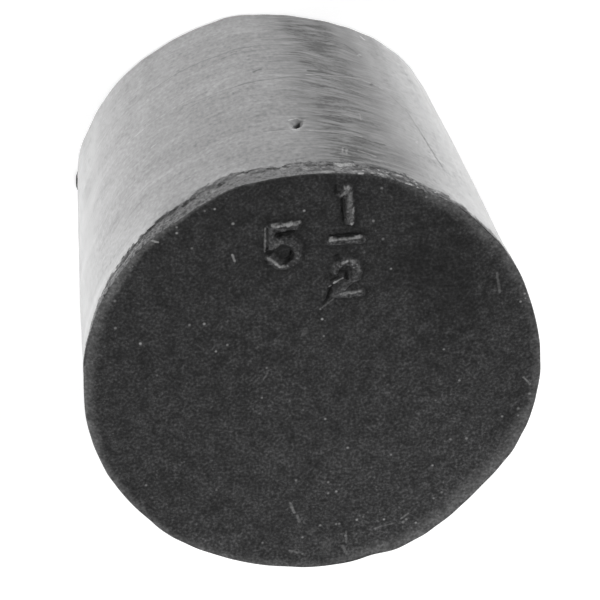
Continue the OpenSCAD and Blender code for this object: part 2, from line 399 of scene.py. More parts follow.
def large_face(look):
    """Points of the large face over a square grid of a and b from -1 to 1, their bearings, and what the
    finish reads there: how raised and shaded it is, and how dusty along the rim.

    The square is drawn out to a disc by X = a sqrt(1 - b^2 / 2), Y = b sqrt(1 - a^2 / 2), and the disc's edge
    follows the rim, where it drops by the square of how near it is. The grid is finest under the number."""
    fine, wide = look.figure_grid / LARGE_R, look.face_grid / LARGE_R
    a = graded_lines(-1, *NUMBER_X, 1, LEFT_STEP * wide, fine, wide)
    b = graded_lines(-1, *NUMBER_Y, 1, wide, fine, fine)
    a, b = np.meshgrid(a, b)
    disc_x, disc_y = a * np.sqrt(1 - b * b / 2), b * np.sqrt(1 - a * a / 2)
    bearing = np.degrees(np.arctan2(disc_x, disc_y))
    edge = face_edge_radius(look) + eased_round(bearing, RIM_OUTLINE)
    x, y = disc_x * edge, disc_y * edge
    raised, grooved, shade = size_number(x, y, look)
    width, share = (eased_round(bearing, [(row[0], row[k]) for row in RIM_DUST], spread=8) for k in (1, 2))
    near_edge = 1 - smooth_step(edge - np.hypot(x, y), 0, width)
    flat = np.stack([x, y, np.zeros_like(x)], -1)
    uneven = look.face_unevenness * rough_field(flat, 9, 2, seed=11)
    rolled = eased_round(bearing, RIM_ROLL, spread=8) * near_edge**2
    z = LENGTH + look.figure_height * raised - look.groove_depth * grooved + uneven - rolled
    marks = {"raised": raised, "shade": shade, "edge_dust": near_edge * share}
    return np.stack([x, y, z], -1), bearing, marks


def edge_of_grid(rows, columns):
    """Numbers of the points along the edge of a grid, anticlockwise seen from above."""
    number = np.arange(rows * columns).reshape(rows, columns)
    return np.concatenate([number[0, :-1], number[:-1, -1], number[-1, :0:-1], number[:0:-1, 0]])


def side_lean(look):
    """Angle between the side and the axis."""
    return math.atan2(LARGE_R - look.small_radius, LENGTH)


def face_edge_radius(look):
    """Radius at which the flat of the large face ends and its rounded edge begins."""
    lean = side_lean(look)
    return LARGE_R - look.rim_edge * (math.tan(lean) + 1 / math.cos(lean))


def section(look):
    """Radius and height of each ring of the side: round the large face's edge, down the taper and round the
    small end's edge. Rings lie closest in the rough band and over the pit."""
    lean = side_lean(look)
    turn = np.linspace(math.pi / 2, -lean, RIM_RINGS + 1)[1:]
    rim_radius = face_edge_radius(look) + look.rim_edge * np.cos(turn)
    rim_height = LENGTH + look.rim_edge * (np.sin(turn) - 1)
    turn = np.linspace(-lean, -math.pi / 2, FOOT_RINGS)
    foot_centre = look.small_radius + look.lead_edge * (math.tan(lean) - 1 / math.cos(lean))
    foot_radius = foot_centre + look.lead_edge * np.cos(turn)
    foot_height = look.lead_edge * (1 + np.sin(turn))
    pit_low, pit_high = PIT.height - PIT_BAND, PIT.height + PIT_BAND
    side_height = np.concatenate([
        np.arange(rim_height[-1] - look.trim_grid, look.trim_foot, -look.trim_grid),
        np.linspace(look.trim_foot, pit_high, 5, endpoint=False),
        np.arange(pit_high, pit_low, -look.pit_grid),
        np.linspace(pit_low, FOOT_BAND, 13, endpoint=False),
        np.linspace(FOOT_BAND, foot_height[0], 5, endpoint=False),
    ])
    side_radius = look.small_radius + (LARGE_R - look.small_radius) * side_height / LENGTH
    radius = np.concatenate([rim_radius, side_radius, foot_radius])
    return radius, np.concatenate([rim_height, side_height, foot_height])


def pit_reach(bearing, height):
    """Distance from the pit's middle, counted in its half lengths along it and its half widths across it."""
    across = np.radians(turn_from(bearing, PIT.bearing)) * LARGE_R
    up = height - PIT.height
    slant = math.radians(PIT.slant)
    along = up * math.cos(slant) - across * math.sin(slant)
    aside = up * math.sin(slant) + across * math.cos(slant)
    return np.hypot(along / PIT.half_length, aside / PIT.half_width)


def nub_share(bearing, height):
    """1 on the nub and 0 off it: exp(-(turn / half width)^4) round the side, and a smooth step down over the
    top two fifths of its height."""
    share = np.exp(-((turn_from(bearing, NUB.bearing) / NUB.half_width) ** 4))
    return share * (1 - smooth_step(height, NUB.height * 0.6, NUB.height))


def side(bearing, look):
    """Points of the side, one ring for each station of the section, how far each is above the trimmed band's
    lower edge, and how dusty the band is there.

    Radius = the section's radius, plus the rim's outline, fading out over 4 mm below the rim, and the small
    end's, fading out over 20 mm above it, and a swell of belly * sin(pi height / length), plus the nub, less
    the trimmed band's depth and roughness and the pit's bell-shaped hollow, plus slow waves. The topmost
    0.8 mm drops with the rolled rim."""
    radius, height = section(look)
    bearing, height = np.meshgrid(bearing, height)
    ring_bearing = bearing[0]
    radius = np.repeat(radius[:, None], bearing.shape[1], 1)
    radius = radius + eased_round(ring_bearing, RIM_OUTLINE) * smooth_step(height, LENGTH - 4, LENGTH - 0.2)
    radius = radius + eased_round(ring_bearing, FOOT_OUTLINE) * (1 - smooth_step(height, 0, 20))
    radius = radius + look.belly * np.sin(math.pi * height / LENGTH)
    turn = np.radians(bearing)
    even = np.stack([radius * np.sin(turn), radius * np.cos(turn), height], -1)
    nub = nub_share(bearing, height)
    radius = radius + NUB.reach * nub
    above_trim = height - eased_round(ring_bearing, TRIM_EDGE)
    ragged = above_trim + TRIM_WANDER * rough_field(even, 2.0, 0.35, seed=3)
    torn = look.trim_depth + look.trim_roughness * rough_field(even, 1.1, 0.3, seed=5, count=64)
    radius = radius - smooth_step(ragged, -0.1, 0.35) * torn * smooth_step(LENGTH - height, 0.02, 0.3)
    radius = radius - look.pit_depth * np.exp(-(pit_reach(bearing, height) ** 2))
    radius = radius + look.side_unevenness * rough_field(even, 12, 3, seed=7)
    topmost = smooth_step(height, LENGTH - 0.8, LENGTH)
    height = height - eased_round(ring_bearing, RIM_ROLL, spread=8) * topmost
    points = np.stack([radius * np.sin(turn), radius * np.cos(turn), height], -1)
    # The nub is torn rubber too, wherever its share is past 0.15
    ragged = np.maximum(ragged, 12 * nub - 1.8)
    return points, ragged, np.broadcast_to(eased_round(ring_bearing, TRIM_DUST, spread=6), height.shape)


def small_face(ring):
    """Rings of the small face, drawn in evenly from its edge ring towards the axis, and its middle point."""
    shrink = np.linspace(1, 0, SMALL_FACE_RINGS + 1, endpoint=False)[1:, None, None]
    rings = ring[None] * np.concatenate([np.repeat(shrink, 2, -1), np.ones_like(shrink)], -1)
    return rings, np.array([[0.0, 0.0, ring[0, 2]]])


def grid_faces(number):
    """Quads between neighbouring rows and columns of a grid of point numbers."""
    return np.stack([number[:-1, :-1], number[:-1, 1:], number[1:, 1:], number[1:, :-1]], -1).reshape(-1, 4)


def skin_shape(look):
    """The whole skin, closed: its points, quads and triangles, the finish of each face, and what the finishes
    read at each point. Points and faces come in the order large face, side, small face."""
    face, bearing, face_marks = large_face(look)
    rows, columns = face.shape[:2]
    edge = edge_of_grid(rows, columns)
    walls, above_trim, trim_dust = side(bearing.reshape(-1)[edge], look)
    foot, middle = small_face(walls[-1])
    rings = np.concatenate([walls, foot])
    points = np.concatenate([face.reshape(-1, 3), rings.reshape(-1, 3), middle])
    ring_number = rows * columns + np.arange(rings[..., 0].size).reshape(rings.shape[:2])
    ring_number = np.concatenate([edge[None], ring_number])
    ring_number = np.concatenate([ring_number, ring_number[:, :1]], 1)
    face_quads = grid_faces(np.arange(rows * columns).reshape(rows, columns))
    ring_quads = grid_faces(ring_number)[:, ::-1]
    last = ring_number[-1]
    fan = np.stack([last[:-1], np.full(len(edge), len(points) - 1), last[1:]], -1)

    marks = {}
    side_marks = {"above_trim": above_trim, "trim_dust": trim_dust}
    for start, some in ((0, face_marks), (rows * columns, side_marks)):
        for name, values in some.items():
            marks[name] = np.full(len(points), ELSEWHERE[name])
            marks[name][start:start + values.size] = values.reshape(-1)
    quads = np.concatenate([face_quads, ring_quads])
    fillet, wall = (len(face_quads) + count * len(edge) for count in (look.fillet_rings, len(walls)))
    finish = np.full(len(quads) + len(fan), FACE)
    finish[fillet:wall] = SIDE
    finish[:len(quads)][marks["above_trim"][quads].mean(-1) > 0] = TORN
    return points, quads, fan, finish, marks


def skin_mesh(look, finishes):
    """Turns the skin's points and faces into a Blender mesh, in metres."""
    points, quads, fan, finish, marks = skin_shape(look)
    mesh = bpy.data.meshes.new("stopper_skin")
    mesh.vertices.add(len(points))
    mesh.vertices.foreach_set("co", (points * MM).reshape(-1))
    corners = np.concatenate([quads.reshape(-1), fan.reshape(-1)])
    sizes = np.concatenate([np.full(len(quads), 4), np.full(len(fan), 3)])
    mesh.loops.add(len(corners))
    mesh.loops.foreach_set("vertex_index", corners)
    mesh.polygons.add(len(sizes))
    mesh.polygons.foreach_set("loop_start", np.cumsum(sizes) - sizes)
    mesh.polygons.foreach_set("material_index", finish)
    mesh.polygons.foreach_set("use_smooth", np.ones(len(sizes), bool))
    mesh.update(calc_edges=True)
    for name, values in marks.items():
        mesh.attributes.new(name, "FLOAT", "POINT").data.foreach_set("value", values)
    for material in finishes:
        mesh.materials.append(material)
    mesh.validate()
    return mesh


# ---------------------------------------------------------------- finishes

class Finish:
    """Short ways to add nodes to a material or the world. An input takes a number, a tuple or a socket."""

    def __init__(self, owner, shader="Principled BSDF"):
        owner.use_nodes = True
        self.tree = owner.node_tree
        self.shader = self.tree.nodes[shader]

    def plug(self, socket, value):
        """Links or sets one input."""
        if isinstance(value, bpy.types.NodeSocket):
            self.tree.links.new(value, socket)
        else:
            socket.default_value = value

    def add(self, kind, inputs, **settings):
        """A new node, with its settings made first and then its inputs, by name or number."""
        node = self.tree.nodes.new(kind)
        for name, value in settings.items():
            setattr(node, name, value)
        for name, value in inputs.items():
            self.plug(node.inputs[name], value)
        return node

    def set(self, **values):
        """Sets the shader's inputs, whose names are written with _ for a space."""
        for name, value in values.items():
            self.plug(self.shader.inputs[name.replace("_", " ")], value)

    def maths(self, operation, *values):
        return self.add("ShaderNodeMath", dict(enumerate(values)), operation=operation).outputs[0]

    def vector(self, operation, *values, **named):
        node = self.add("ShaderNodeVectorMath", {**dict(enumerate(values)), **named}, operation=operation)
        return node.outputs["Value" if operation in ("DOT_PRODUCT", "DISTANCE") else "Vector"]

    def fold(self, operation, first, *others):
        """One operation on two inputs after another."""
        for other in others:
            first = self.maths(operation, first, other)
        return first

    times = partialmethod(fold, "MULTIPLY")
    plus = partialmethod(fold, "ADD")
    most = partialmethod(fold, "MAXIMUM")

    def cut(self, value):
        """A value held between 0 and 1."""
        return self.add("ShaderNodeClamp", {"Value": value}).outputs[0]

    def spot(self):
        """The point being shaded, in millimetres, and its x, y and z."""
        place = self.add("ShaderNodeTexCoord", {}).outputs["Object"]
        place = self.vector("SCALE", place, Scale=1 / MM)
        parts = self.add("ShaderNodeSeparateXYZ", {0: place}).outputs
        return place, parts["X"], parts["Y"], parts["Z"]

    def unrolled(self, x, y, z):
        """The bearing of a point in degrees, and its place on the side unrolled flat, as in on_side."""
        bearing = self.times(self.maths("ARCTAN2", x, y), 180 / math.pi)
        return bearing, self.add("ShaderNodeCombineXYZ", {0: self.times(bearing, ARC), 1: z}).outputs[0]

    def attribute(self, name):
        return self.add("ShaderNodeAttribute", {}, attribute_name=name).outputs["Fac"]

    def step(self, value, low, high, to_low=0.0, to_high=1.0):
        """A smooth step from to_low to to_high as value goes from low to high, whichever is the greater."""
        ends = {"Value": value, "From Min": low, "From Max": high, "To Min": to_low, "To Max": to_high}
        return self.add("ShaderNodeMapRange", ends, interpolation_type="SMOOTHSTEP").outputs["Result"]

    def bell(self, value, middle, spread):
        """A bell curve, exp(-((value - middle) / spread)^2)."""
        off = self.maths("MULTIPLY_ADD", value, 1 / spread, -middle / spread)
        return self.maths("EXPONENT", self.times(off, off, -1.0))

    def noise(self, place, scale, detail=2.0, roughness=0.5, seed=0):
        """Noise about 0.5, with scale cells to a millimetre."""
        place = self.vector("ADD", place, tuple(seed * step for step in NOISE_STEP))
        inputs = {"Vector": place, "Scale": scale, "Detail": detail, "Roughness": roughness}
        return self.add("ShaderNodeTexNoise", inputs).outputs["Fac"]

    def drawn_out(self, place, across, up, detail, roughness, seed):
        """Noise with across cells to a millimetre level with the ground, and up cells upright."""
        place = self.vector("MULTIPLY", place, (across, across, up))
        return self.noise(place, 1.0, detail, roughness, seed)

    def sway(self, value, amount):
        """A value about 0 from a noise about 0.5: amount * (value - 0.5)."""
        return self.times(self.plus(value, -0.5), amount)

    def swing(self, value, amount):
        """A factor about 1 from a noise about 0.5: 1 + 2 * amount * (value - 0.5)."""
        return self.maths("MULTIPLY_ADD", value, 2 * amount, 1 - amount)

    def jittered(self, surface, noise, reach):
        """A place on a surface moved by up to reach millimetres with a noise, to fray what is drawn there."""
        off = self.plus(self.times(noise, 2 * reach), -reach)
        return self.vector("ADD", surface, self.add("ShaderNodeCombineXYZ", {0: off, 1: off}).outputs[0])

    def specks(self, place, scale, radius, chance, seed=0):
        """Round specks of up to a radius in millimetres, in a chance share of the cells of a random
        pattern."""
        place = self.vector("ADD", place, tuple(seed * step for step in SPECK_STEP))
        cells = self.add("ShaderNodeTexVoronoi", {"Vector": place, "Scale": scale})
        pick = self.add("ShaderNodeSeparateColor", {0: cells.outputs["Color"]}).outputs["Red"]
        near = self.step(cells.outputs["Distance"], radius * scale, radius * scale * DOT_CORE)
        return self.times(near, self.maths("LESS_THAN", pick, chance))

    def strokes(self, place, table, blur=0.05):
        """How strongly the nearest stroke of a table marks a point, from 0 to 1, by the distance to its
        middle line."""
        mark = 0.0
        for x0, y0, x1, y1, half, strength in table:
            run = Vector((x1 - x0, y1 - y0, 0))
            away = self.vector("SUBTRACT", place, (x0, y0, 0))
            share = self.cut(self.vector("DOT_PRODUCT", away, run / run.length_squared))
            distance = self.vector("DISTANCE", away, self.vector("SCALE", run, Scale=share))
            mark = self.most(mark, self.step(distance, half + blur, half * STROKE_CORE, 0, strength))
        return mark

    def dots(self, place, table, blur=0.04):
        """How strongly the nearest dot of a table's groups marks a point, from 0 to 1."""
        mark = 0.0
        for strength, dots in table.items():
            for x, y, radius in dots:
                distance = self.vector("DISTANCE", place, (x, y, 0))
                mark = self.most(mark, self.step(distance, radius + blur, radius * DOT_CORE, 0, strength))
        return mark

    def blend(self, share, under, over):
        """The colour under, with the setting over laid on it by share, held between 0 and 1."""
        inputs = {0: share, 6: under, 7: opaque(over)}
        return self.add("ShaderNodeMix", inputs, data_type="RGBA").outputs[2]

    def shaded(self, colour, factor):
        """The colour of a setting, multiplied by a factor."""
        return self.vector("SCALE", tuple(colour), Scale=factor)

    def bump(self, height, distance):
        """Normals of a surface raised by distance millimetres where height is 1."""
        return self.add("ShaderNodeBump", {"Height": height, "Distance": distance * MM}).outputs["Normal"]


def opaque(colour):
    return (*colour, 1.0)


def on_side(table):
    """A table's strokes with their bearings turned into millimetres round the side."""
    return [(first * ARC, low, last * ARC, *others) for first, low, last, *others in table]


def face_finish(look):
    """Moulded, matt end faces: charcoal with a fine grain, painted shade darker towards +Y, a thumbed patch,
    dust, scratches, and on the size number painted shade round its strokes, pale crests that are partly
    rubbed wear and partly painted highlights, and dark grooves painted with the shade in them."""
    material = bpy.data.materials.new("moulded_face")
    f = Finish(material)
    place, x, y, z = f.spot()
    flat = f.vector("MULTIPLY", place, (1, 1, 0))
    large = f.maths("GREATER_THAN", z, LENGTH / 2)
    grain = f.noise(place, 5.5, 2.0, 0.6, seed=1)
    mottle = f.noise(place, 1.3, 3.0, 0.6, seed=2)
    cloud = f.noise(place, 0.2, 2.0, 0.5, seed=3)
    # Painted shade: the end faces are darker towards +Y and a little lighter towards +X
    lean = f.plus(1.0, f.times(y, -0.025), f.times(x, 0.004))
    rough = f.maths("POWER", 2.0, f.sway(grain, look.grain))
    tone = f.times(rough, f.swing(mottle, 1.0), f.swing(cloud, 0.3), lean)
    wander = f.times(f.plus(cloud, mottle, -1.0), 5.0)
    thumbed = f.plus(f.vector("DISTANCE", flat, THUMBED), wander)
    tone = f.times(tone, f.step(thumbed, 1.0, 5.5, 0.6, 1.0))
    # Painted shade round the size number's strokes darkens the face
    tone = f.times(tone, f.plus(1.0, f.times(f.attribute("shade"), -0.4)))
    tone = f.times(tone, f.plus(1.0, f.times(f.attribute("raised"), f.swing(grain, 1.5), 0.85)))
    colour = f.shaded(look.face_colour, tone)

    rim_dust = f.times(f.attribute("edge_dust"), f.swing(mottle, 0.7), f.swing(grain, 1.0), large)
    fine_dust = f.times(f.specks(place, 1.1, 0.11, 0.3, seed=1), f.step(mottle, 0.35, 0.6))
    fine_dust = f.most(fine_dust, f.times(f.specks(place, 2.3, 0.07, 0.25, seed=2), 0.6))
    fine_dust = f.times(fine_dust, f.step(y, 12.0, -12.0, 0.4, 1.2))
    jittered = f.jittered(flat, f.noise(place, 2.5, 1.0, seed=4), 0.06)
    scratches = f.times(large, f.strokes(jittered, FACE_SCRATCHES), f.swing(grain, 1.0))
    pale = f.most(f.times(rim_dust, 0.3), f.times(fine_dust, 0.3), f.times(scratches, 0.8))
    pale = f.most(pale, f.times(large, f.dots(flat, FACE_SPECKS)))
    colour = f.blend(pale, colour, look.dust_colour)
    # The grooves beside the number are painted near black as the shade in them
    grooves = f.times(large, f.strokes(jittered, NUMBER_GROOVES), f.swing(grain, 1.5))
    colour = f.blend(grooves, colour, look.groove_shade_colour)
    # The number's crests are painted pale: partly rubbed wear, partly painted highlights
    crests = f.times(large, f.strokes(jittered, NUMBER_CRESTS), f.swing(grain, 1.5))
    colour = f.blend(crests, colour, look.crest_wear_and_highlight_colour)
    relief = f.plus(grain, f.times(mottle, 0.7))
    f.set(Base_Color=colour, Roughness=f.maths("MULTIPLY_ADD", grain, 0.2, 0.45), Specular_IOR_Level=0.12)
    f.set(Normal=f.bump(relief, look.grain_height))
    return material


def side_finish(look):
    """Buffed side: grey, with wavy streaks round it, a darker strip of painted shade with some handling wear,
    paler flanks either side of it, partly a chalky film and partly a painted reflection of the grazing edges,
    chalk on a rubbed corner, dark nick marks, smears and scrapes, under a thin satin skin. Painted shade
    darkens the pit and a fringe under the trimmed band's step. The streaks and the grain change at the back,
    which shows no handling wear."""
    material = bpy.data.materials.new("buffed_side")
    f = Finish(material)
    place, x, y, z = f.spot()
    bearing, unrolled = f.unrolled(x, y, z)
    jittered = f.jittered(unrolled, f.noise(place, 2.0, 1.0, seed=10), 0.08)
    nicks_and_shadow, scrapes = f.strokes(jittered, on_side(SIDE_NICKS_AND_PIT_SHADE)), f.strokes(jittered, on_side(SIDE_SCRAPES))
    smears = f.strokes(jittered, on_side(SIDE_SMEARS), blur=0.2)

    drift = f.times(f.noise(place, 0.13, 1.0, seed=4), 2.6)
    drift = f.plus(drift, f.times(f.noise(place, 0.5, 1.0, seed=5), 0.5))
    wavy = f.vector("ADD", place, f.add("ShaderNodeCombineXYZ", {2: drift}).outputs[0])
    streak = f.drawn_out(wavy, 0.1, 1.0, 4.0, 0.62, seed=6)
    hairs = f.drawn_out(wavy, 0.4, 2.8, 2.0, 0.6, seed=7)
    grain = f.noise(f.vector("MULTIPLY", place, (1, 1, 0.8)), 4.0, 1.0, 0.6, seed=9)
    haze = f.noise(place, 0.3, 3.0, 0.55, seed=8)
    scored = f.times(f.bell(streak, 0.52, 0.012), f.step(hairs, 0.42, 0.62))
    smudges = f.drawn_out(wavy, 0.55, 3.0, 3.0, 0.6, seed=13)
    back = f.step(f.maths("ABSOLUTE", bearing), *BACK)
    coarse = f.plus(f.times(back, -0.65), 1.1, f.times(f.bell(bearing, 55.0, 25.0), 0.4))
    streaky = f.plus(f.step(bearing, 28.0, 50.0, 0.7, 0.3), f.times(back, 0.15))
    texture = f.plus(f.sway(streak, streaky), f.sway(hairs, 0.4), f.sway(grain, coarse))
    texture = f.plus(texture, f.times(scored, -0.3))
    # A dark strip about bearing 13: painted shade, with some handling wear
    lopsided = f.times(f.plus(bearing, -HANDLING_AND_SHADE[0]), f.step(bearing, 8.0, 18.0, 0.9, 0.56))
    handling_and_painted_shade = f.bell(f.plus(lopsided, f.sway(smudges, 8.0)), 0.0, HANDLING_AND_SHADE[1])
    patchy = f.plus(f.sway(smudges, 2.2), f.sway(streak, 1.2), f.sway(grain, 1.0))
    handling_and_painted_shade = f.cut(f.times(handling_and_painted_shade, f.plus(0.78, patchy, f.sway(haze, 0.8))))
    # Paler flanks: partly a chalky film, partly a painted reflection of the grazing edges; the rubbed corner
    # is chalk
    rubbed = f.times(f.bell(bearing, *RUBBED), f.bell(z, *RUBBED_HEIGHT), 1.4)
    bloom_and_painted_reflection = f.most(f.bell(bearing, *PAINTED_REFLECTION_AND_BLOOM_LEFT), f.bell(bearing, *PAINTED_REFLECTION_AND_BLOOM_RIGHT), rubbed)
    bloom_and_painted_reflection = f.times(bloom_and_painted_reflection, f.swing(streak, 0.4))
    tone = f.times(f.plus(1.0, texture), f.swing(haze, 0.15), f.plus(1.0, f.times(bloom_and_painted_reflection, 1.9)))
    tone = f.times(tone, f.plus(1.0, f.times(handling_and_painted_shade, -0.94)))
    colour = f.shaded(look.side_colour, tone)

    nicks_and_shadow = f.most(nicks_and_shadow, f.times(smears, 0.5, f.swing(smudges, 1.5)))
    shreds = f.drawn_out(place, *SHREDS)
    # A dark fringe under the trimmed band: ragged rubber and the painted shadow of the band's step
    frayed_edge_shadow = f.step(f.plus(f.attribute("above_trim"), f.sway(shreds, 1.6)), 0.0, 0.1)
    frayed_edge_shadow = f.times(frayed_edge_shadow, f.swing(grain, 2.0), f.step(bearing, *CALM, 0.4, 0.2))
    nicks_and_shadow = f.most(nicks_and_shadow, frayed_edge_shadow)
    colour = f.blend(nicks_and_shadow, colour, look.nick_and_shadow_colour)
    colour = f.blend(f.times(scrapes, f.swing(grain, 1.0)), colour, look.crumb_colour)
    relief = f.plus(streak, hairs, f.times(grain, 0.5))
    dulled = f.most(f.times(handling_and_painted_shade, 0.8), f.times(nicks_and_shadow, 0.9))
    satin = f.times(f.plus(0.9, texture), f.plus(1.0, f.times(dulled, -1.0)))
    f.set(Base_Color=colour, Normal=f.bump(relief, look.streak_height), Roughness=0.5, Specular_IOR_Level=0.1)
    f.set(Sheen_Weight=1.0, Sheen_Roughness=0.28)
    f.set(Coat_Weight=f.cut(satin), Coat_Roughness=0.15, Coat_IOR=1.5)
    return material


def torn_finish(look):
    """Torn rubber of the trimmed band and the nub: raw and dark to pale with dust, crumbly, with a ragged
    lower edge and dark tear marks, both painted darker partly as the shadow of the torn overhangs, dark
    specks, crumbs and pale scrapes."""
    material = bpy.data.materials.new("torn_rim")
    f = Finish(material)
    place, x, y, z = f.spot()
    bearing, unrolled = f.unrolled(x, y, z)
    jittered = f.jittered(unrolled, f.noise(place, 2.6, 2.0, seed=10), 0.2)
    scrapes = f.strokes(jittered, on_side(TRIM_SCRAPES))
    tears_and_shadows = f.strokes(jittered, on_side(TRIM_TEARS_AND_SHADOWS), blur=0.12)
    shreds = f.drawn_out(place, *SHREDS)
    clumps = f.drawn_out(place, 1.6, 3.0, 4.0, 0.7, seed=12)
    grain = f.noise(place, 5.0, 2.0, 0.7, seed=9)
    above = f.attribute("above_trim")
    dust = f.plus(f.attribute("trim_dust"), f.sway(shreds, 1.6), f.sway(grain, 2.4))
    fringe = f.plus(f.times(f.bell(bearing, 50.0, 20.0), 1.1), -0.15)
    dust = f.plus(dust, f.times(f.step(above, 0.5, 0.0), fringe))
    colour = f.blend(dust, opaque(look.torn_dark), look.torn_pale)
    # Dark clumps along the band's lower edge: painted shadow of the torn overhangs
    lower_edge_shadow = f.times(f.step(above, 0.35, 0.15), f.step(clumps, 0.5, 0.42))
    lower_edge_shadow = f.times(lower_edge_shadow, f.step(bearing, *CALM, 0.3, 0.1))
    rim_line = f.times(f.bell(z, *RIM_LINE_HEIGHT), f.bell(bearing, *RIM_LINE), 0.5)
    tears_and_shadows = f.times(f.most(tears_and_shadows, lower_edge_shadow, rim_line), f.swing(grain, 2.5))
    holes = f.times(f.specks(place, 2.4, 0.15, 0.35, seed=5), f.step(bearing, -10.0, -30.0, 0.3, 0.6))
    colour = f.blend(f.most(tears_and_shadows, holes), colour, look.nick_and_shadow_colour)
    crumbs = f.times(f.plus(0.5, f.bell(bearing, 25.0, 22.0)), f.specks(place, 2.2, 0.11, 0.25, seed=3))
    colour = f.blend(f.most(f.times(scrapes, f.swing(grain, 1.5)), crumbs), colour, look.crumb_colour)
    relief = f.plus(shreds, f.times(grain, 0.6))
    f.set(Base_Color=colour, Normal=f.bump(relief, look.torn_height), Roughness=0.7, Specular_IOR_Level=0.2)
    return material


# ---------------------------------------------------------------- settings

def length(name, description, metres):
    """A length, given in metres."""
    return FloatProperty(
        name=name, description=description, default=metres, min=0, unit="LENGTH", precision=5
    )


def amount(name, description, default):
    """A strength or a factor."""
    return FloatProperty(name=name, description=description, default=default, min=0)


def angle(name, description, degrees):
    """An angle, given in degrees."""
    return FloatProperty(name=name, description=description, default=math.radians(degrees), subtype="ANGLE")


def colour(name, description, default):
    """A colour, as red, green and blue."""
    return FloatVectorProperty(
        name=name, description=description, default=default, size=3, subtype="COLOR", min=0, max=1
    )


class StopperSkinSettings(bpy.types.PropertyGroup):
    """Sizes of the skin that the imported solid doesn't give, and its colours"""

    small_radius: length("Small End Radius", "Radius where the side meets the small face", 0.012)
    rim_edge: length("Rim Edge", "Radius of the large face's edge", 0.00008)
    lead_edge: length("Lead Edge", "Radius of the small end's edge", 0.0003)
    figure_height: length("Number Height", "How far the size number stands above the face", 0.00022)
    figure_shoulder: length("Number Shoulder", "Width over which a stroke falls to the face", 0.00022)
    figure_wander: length("Number Wander", "How far the edges of the strokes wander", 0.00003)
    groove_depth: length("Groove Depth", "Depth of the grooves beside the size number", 0.00012)
    face_unevenness: length("Face Unevenness", "Height of the large face's slow waves", 0.000012)
    side_unevenness: length("Side Unevenness", "Height of the side's slow waves", 0.00002)
    belly: length("Belly", "How far the side swells halfway up", 0.00008)
    torn_height: length("Torn Height", "Height of the fine roughness of the torn band", 0.00005)
    trim_depth: length("Trim Depth", "How far the trimmed band lies inside the side", 0.00003)
    trim_roughness: length("Trim Roughness", "Height of the trimmed band's roughness", 0.000012)
    trim_foot: length("Trim Foot", "Height above which rings lie close together for the trimmed band", 0.0224)
    pit_depth: length("Pit Depth", "Depth of the pit in the side", 0.00045)
    figure_grid: length("Number Grid", "Mesh size under the size number", 0.00007)
    face_grid: length("Face Grid", "Mesh size over the rest of the face", 0.0003)
    trim_grid: length("Trim Grid", "Mesh size across the trimmed band", 0.00012)
    pit_grid: length("Pit Grid", "Mesh size across the pit", 0.00015)
    grain: amount("Face Grain", "Strength of the grain in the face's colour", 6.0)
    grain_height: length("Grain Height", "Height of the face's grain", 0.00004)
    streak_height: length("Streak Height", "Height of the streaks round the side", 0.000015)
    fillet_rings: IntProperty(
        name="Edge Rings", description="Rings of the rim's edge with the face's finish", default=3,
        min=1, max=RIM_RINGS,
    )
    face_colour: colour("Face Colour", "Moulded charcoal of the end faces", (0.029, 0.029, 0.0295))
    # Partly rubbed wear, partly painted highlights on the number's crests
    crest_wear_and_highlight_colour: colour("Crest Colour", "Rubbed crests of the size number", (0.3, 0.3, 0.3))
    # Painted shade in the grooves of the face
    groove_shade_colour: colour("Groove Colour", "Depth of the grooves in the face", (0.002, 0.002, 0.002))
    dust_colour: colour("Dust Colour", "Dust and rubbed scratches on the face", (0.3, 0.3, 0.3))
    side_colour: colour("Side Colour", "Buffed grey of the side", (0.163, 0.163, 0.165))
    # Dark nick marks, and painted shade in the pit and at the trimmed band's torn edge
    nick_and_shadow_colour: colour("Nick Colour", "Depth of the nicks in the side", (0.015, 0.015, 0.015))
    torn_dark: colour("Torn Dark", "Raw rubber in the trimmed band", (0.03, 0.03, 0.031))
    torn_pale: colour("Torn Pale", "Dusty rubber in the trimmed band", (0.27, 0.27, 0.272))
    crumb_colour: colour("Crumb Colour", "Crumbs and fresh scrapes", (0.45, 0.45, 0.45))


class StopperStageSettings(bpy.types.PropertyGroup):
    """The floor, lights and camera"""

    floor_colour: colour("Floor Colour", "Colour of the floor", (0.85, 0.85, 0.85))
    floor_lift: amount("Floor Lift", "Light added where the floor is seen as background", 0.5)
    gloss_lift: amount("Gloss Lift", "Light added where the floor is seen in a gloss", 0.8)
    sky_light: amount("Sky Light", "Strength of the even light all round", 0.3)
    lamp_light: amount("Lamp Light", "Factor on the power of the lamps", 1.0)
    view_bearing: angle("View Bearing", "Bearing from which the camera looks", -12.57)
    view_height: angle("View Height", "Angle of the camera above the floor", 59.19)
    view_roll: angle("View Roll", "Turn of the camera about its line of sight", 165.42)
    view_distance: length("View Distance", "Distance from the camera to the point it looks at", 0.3546)
    view_target: FloatVectorProperty(
        name="View Target", description="Point that the camera looks at", default=(0.00087, -0.00205, 0.0125),
        subtype="XYZ", unit="LENGTH",
    )
    lens: FloatProperty(name="Lens", description="Focal length", default=337.0, unit="CAMERA")


def in_millimetres(settings):
    """The settings by name, with their lengths in millimetres."""
    values = {}
    for item in settings.bl_rna.properties:
        if item.identifier not in ("rna_type", "name"):
            value = getattr(settings, item.identifier)
            if getattr(item, "unit", "NONE") == "LENGTH" and not getattr(item, "is_array", False):
                value = value / MM
            values[item.identifier] = value
    return SimpleNamespace(**values)


# ---------------------------------------------------------------- operators

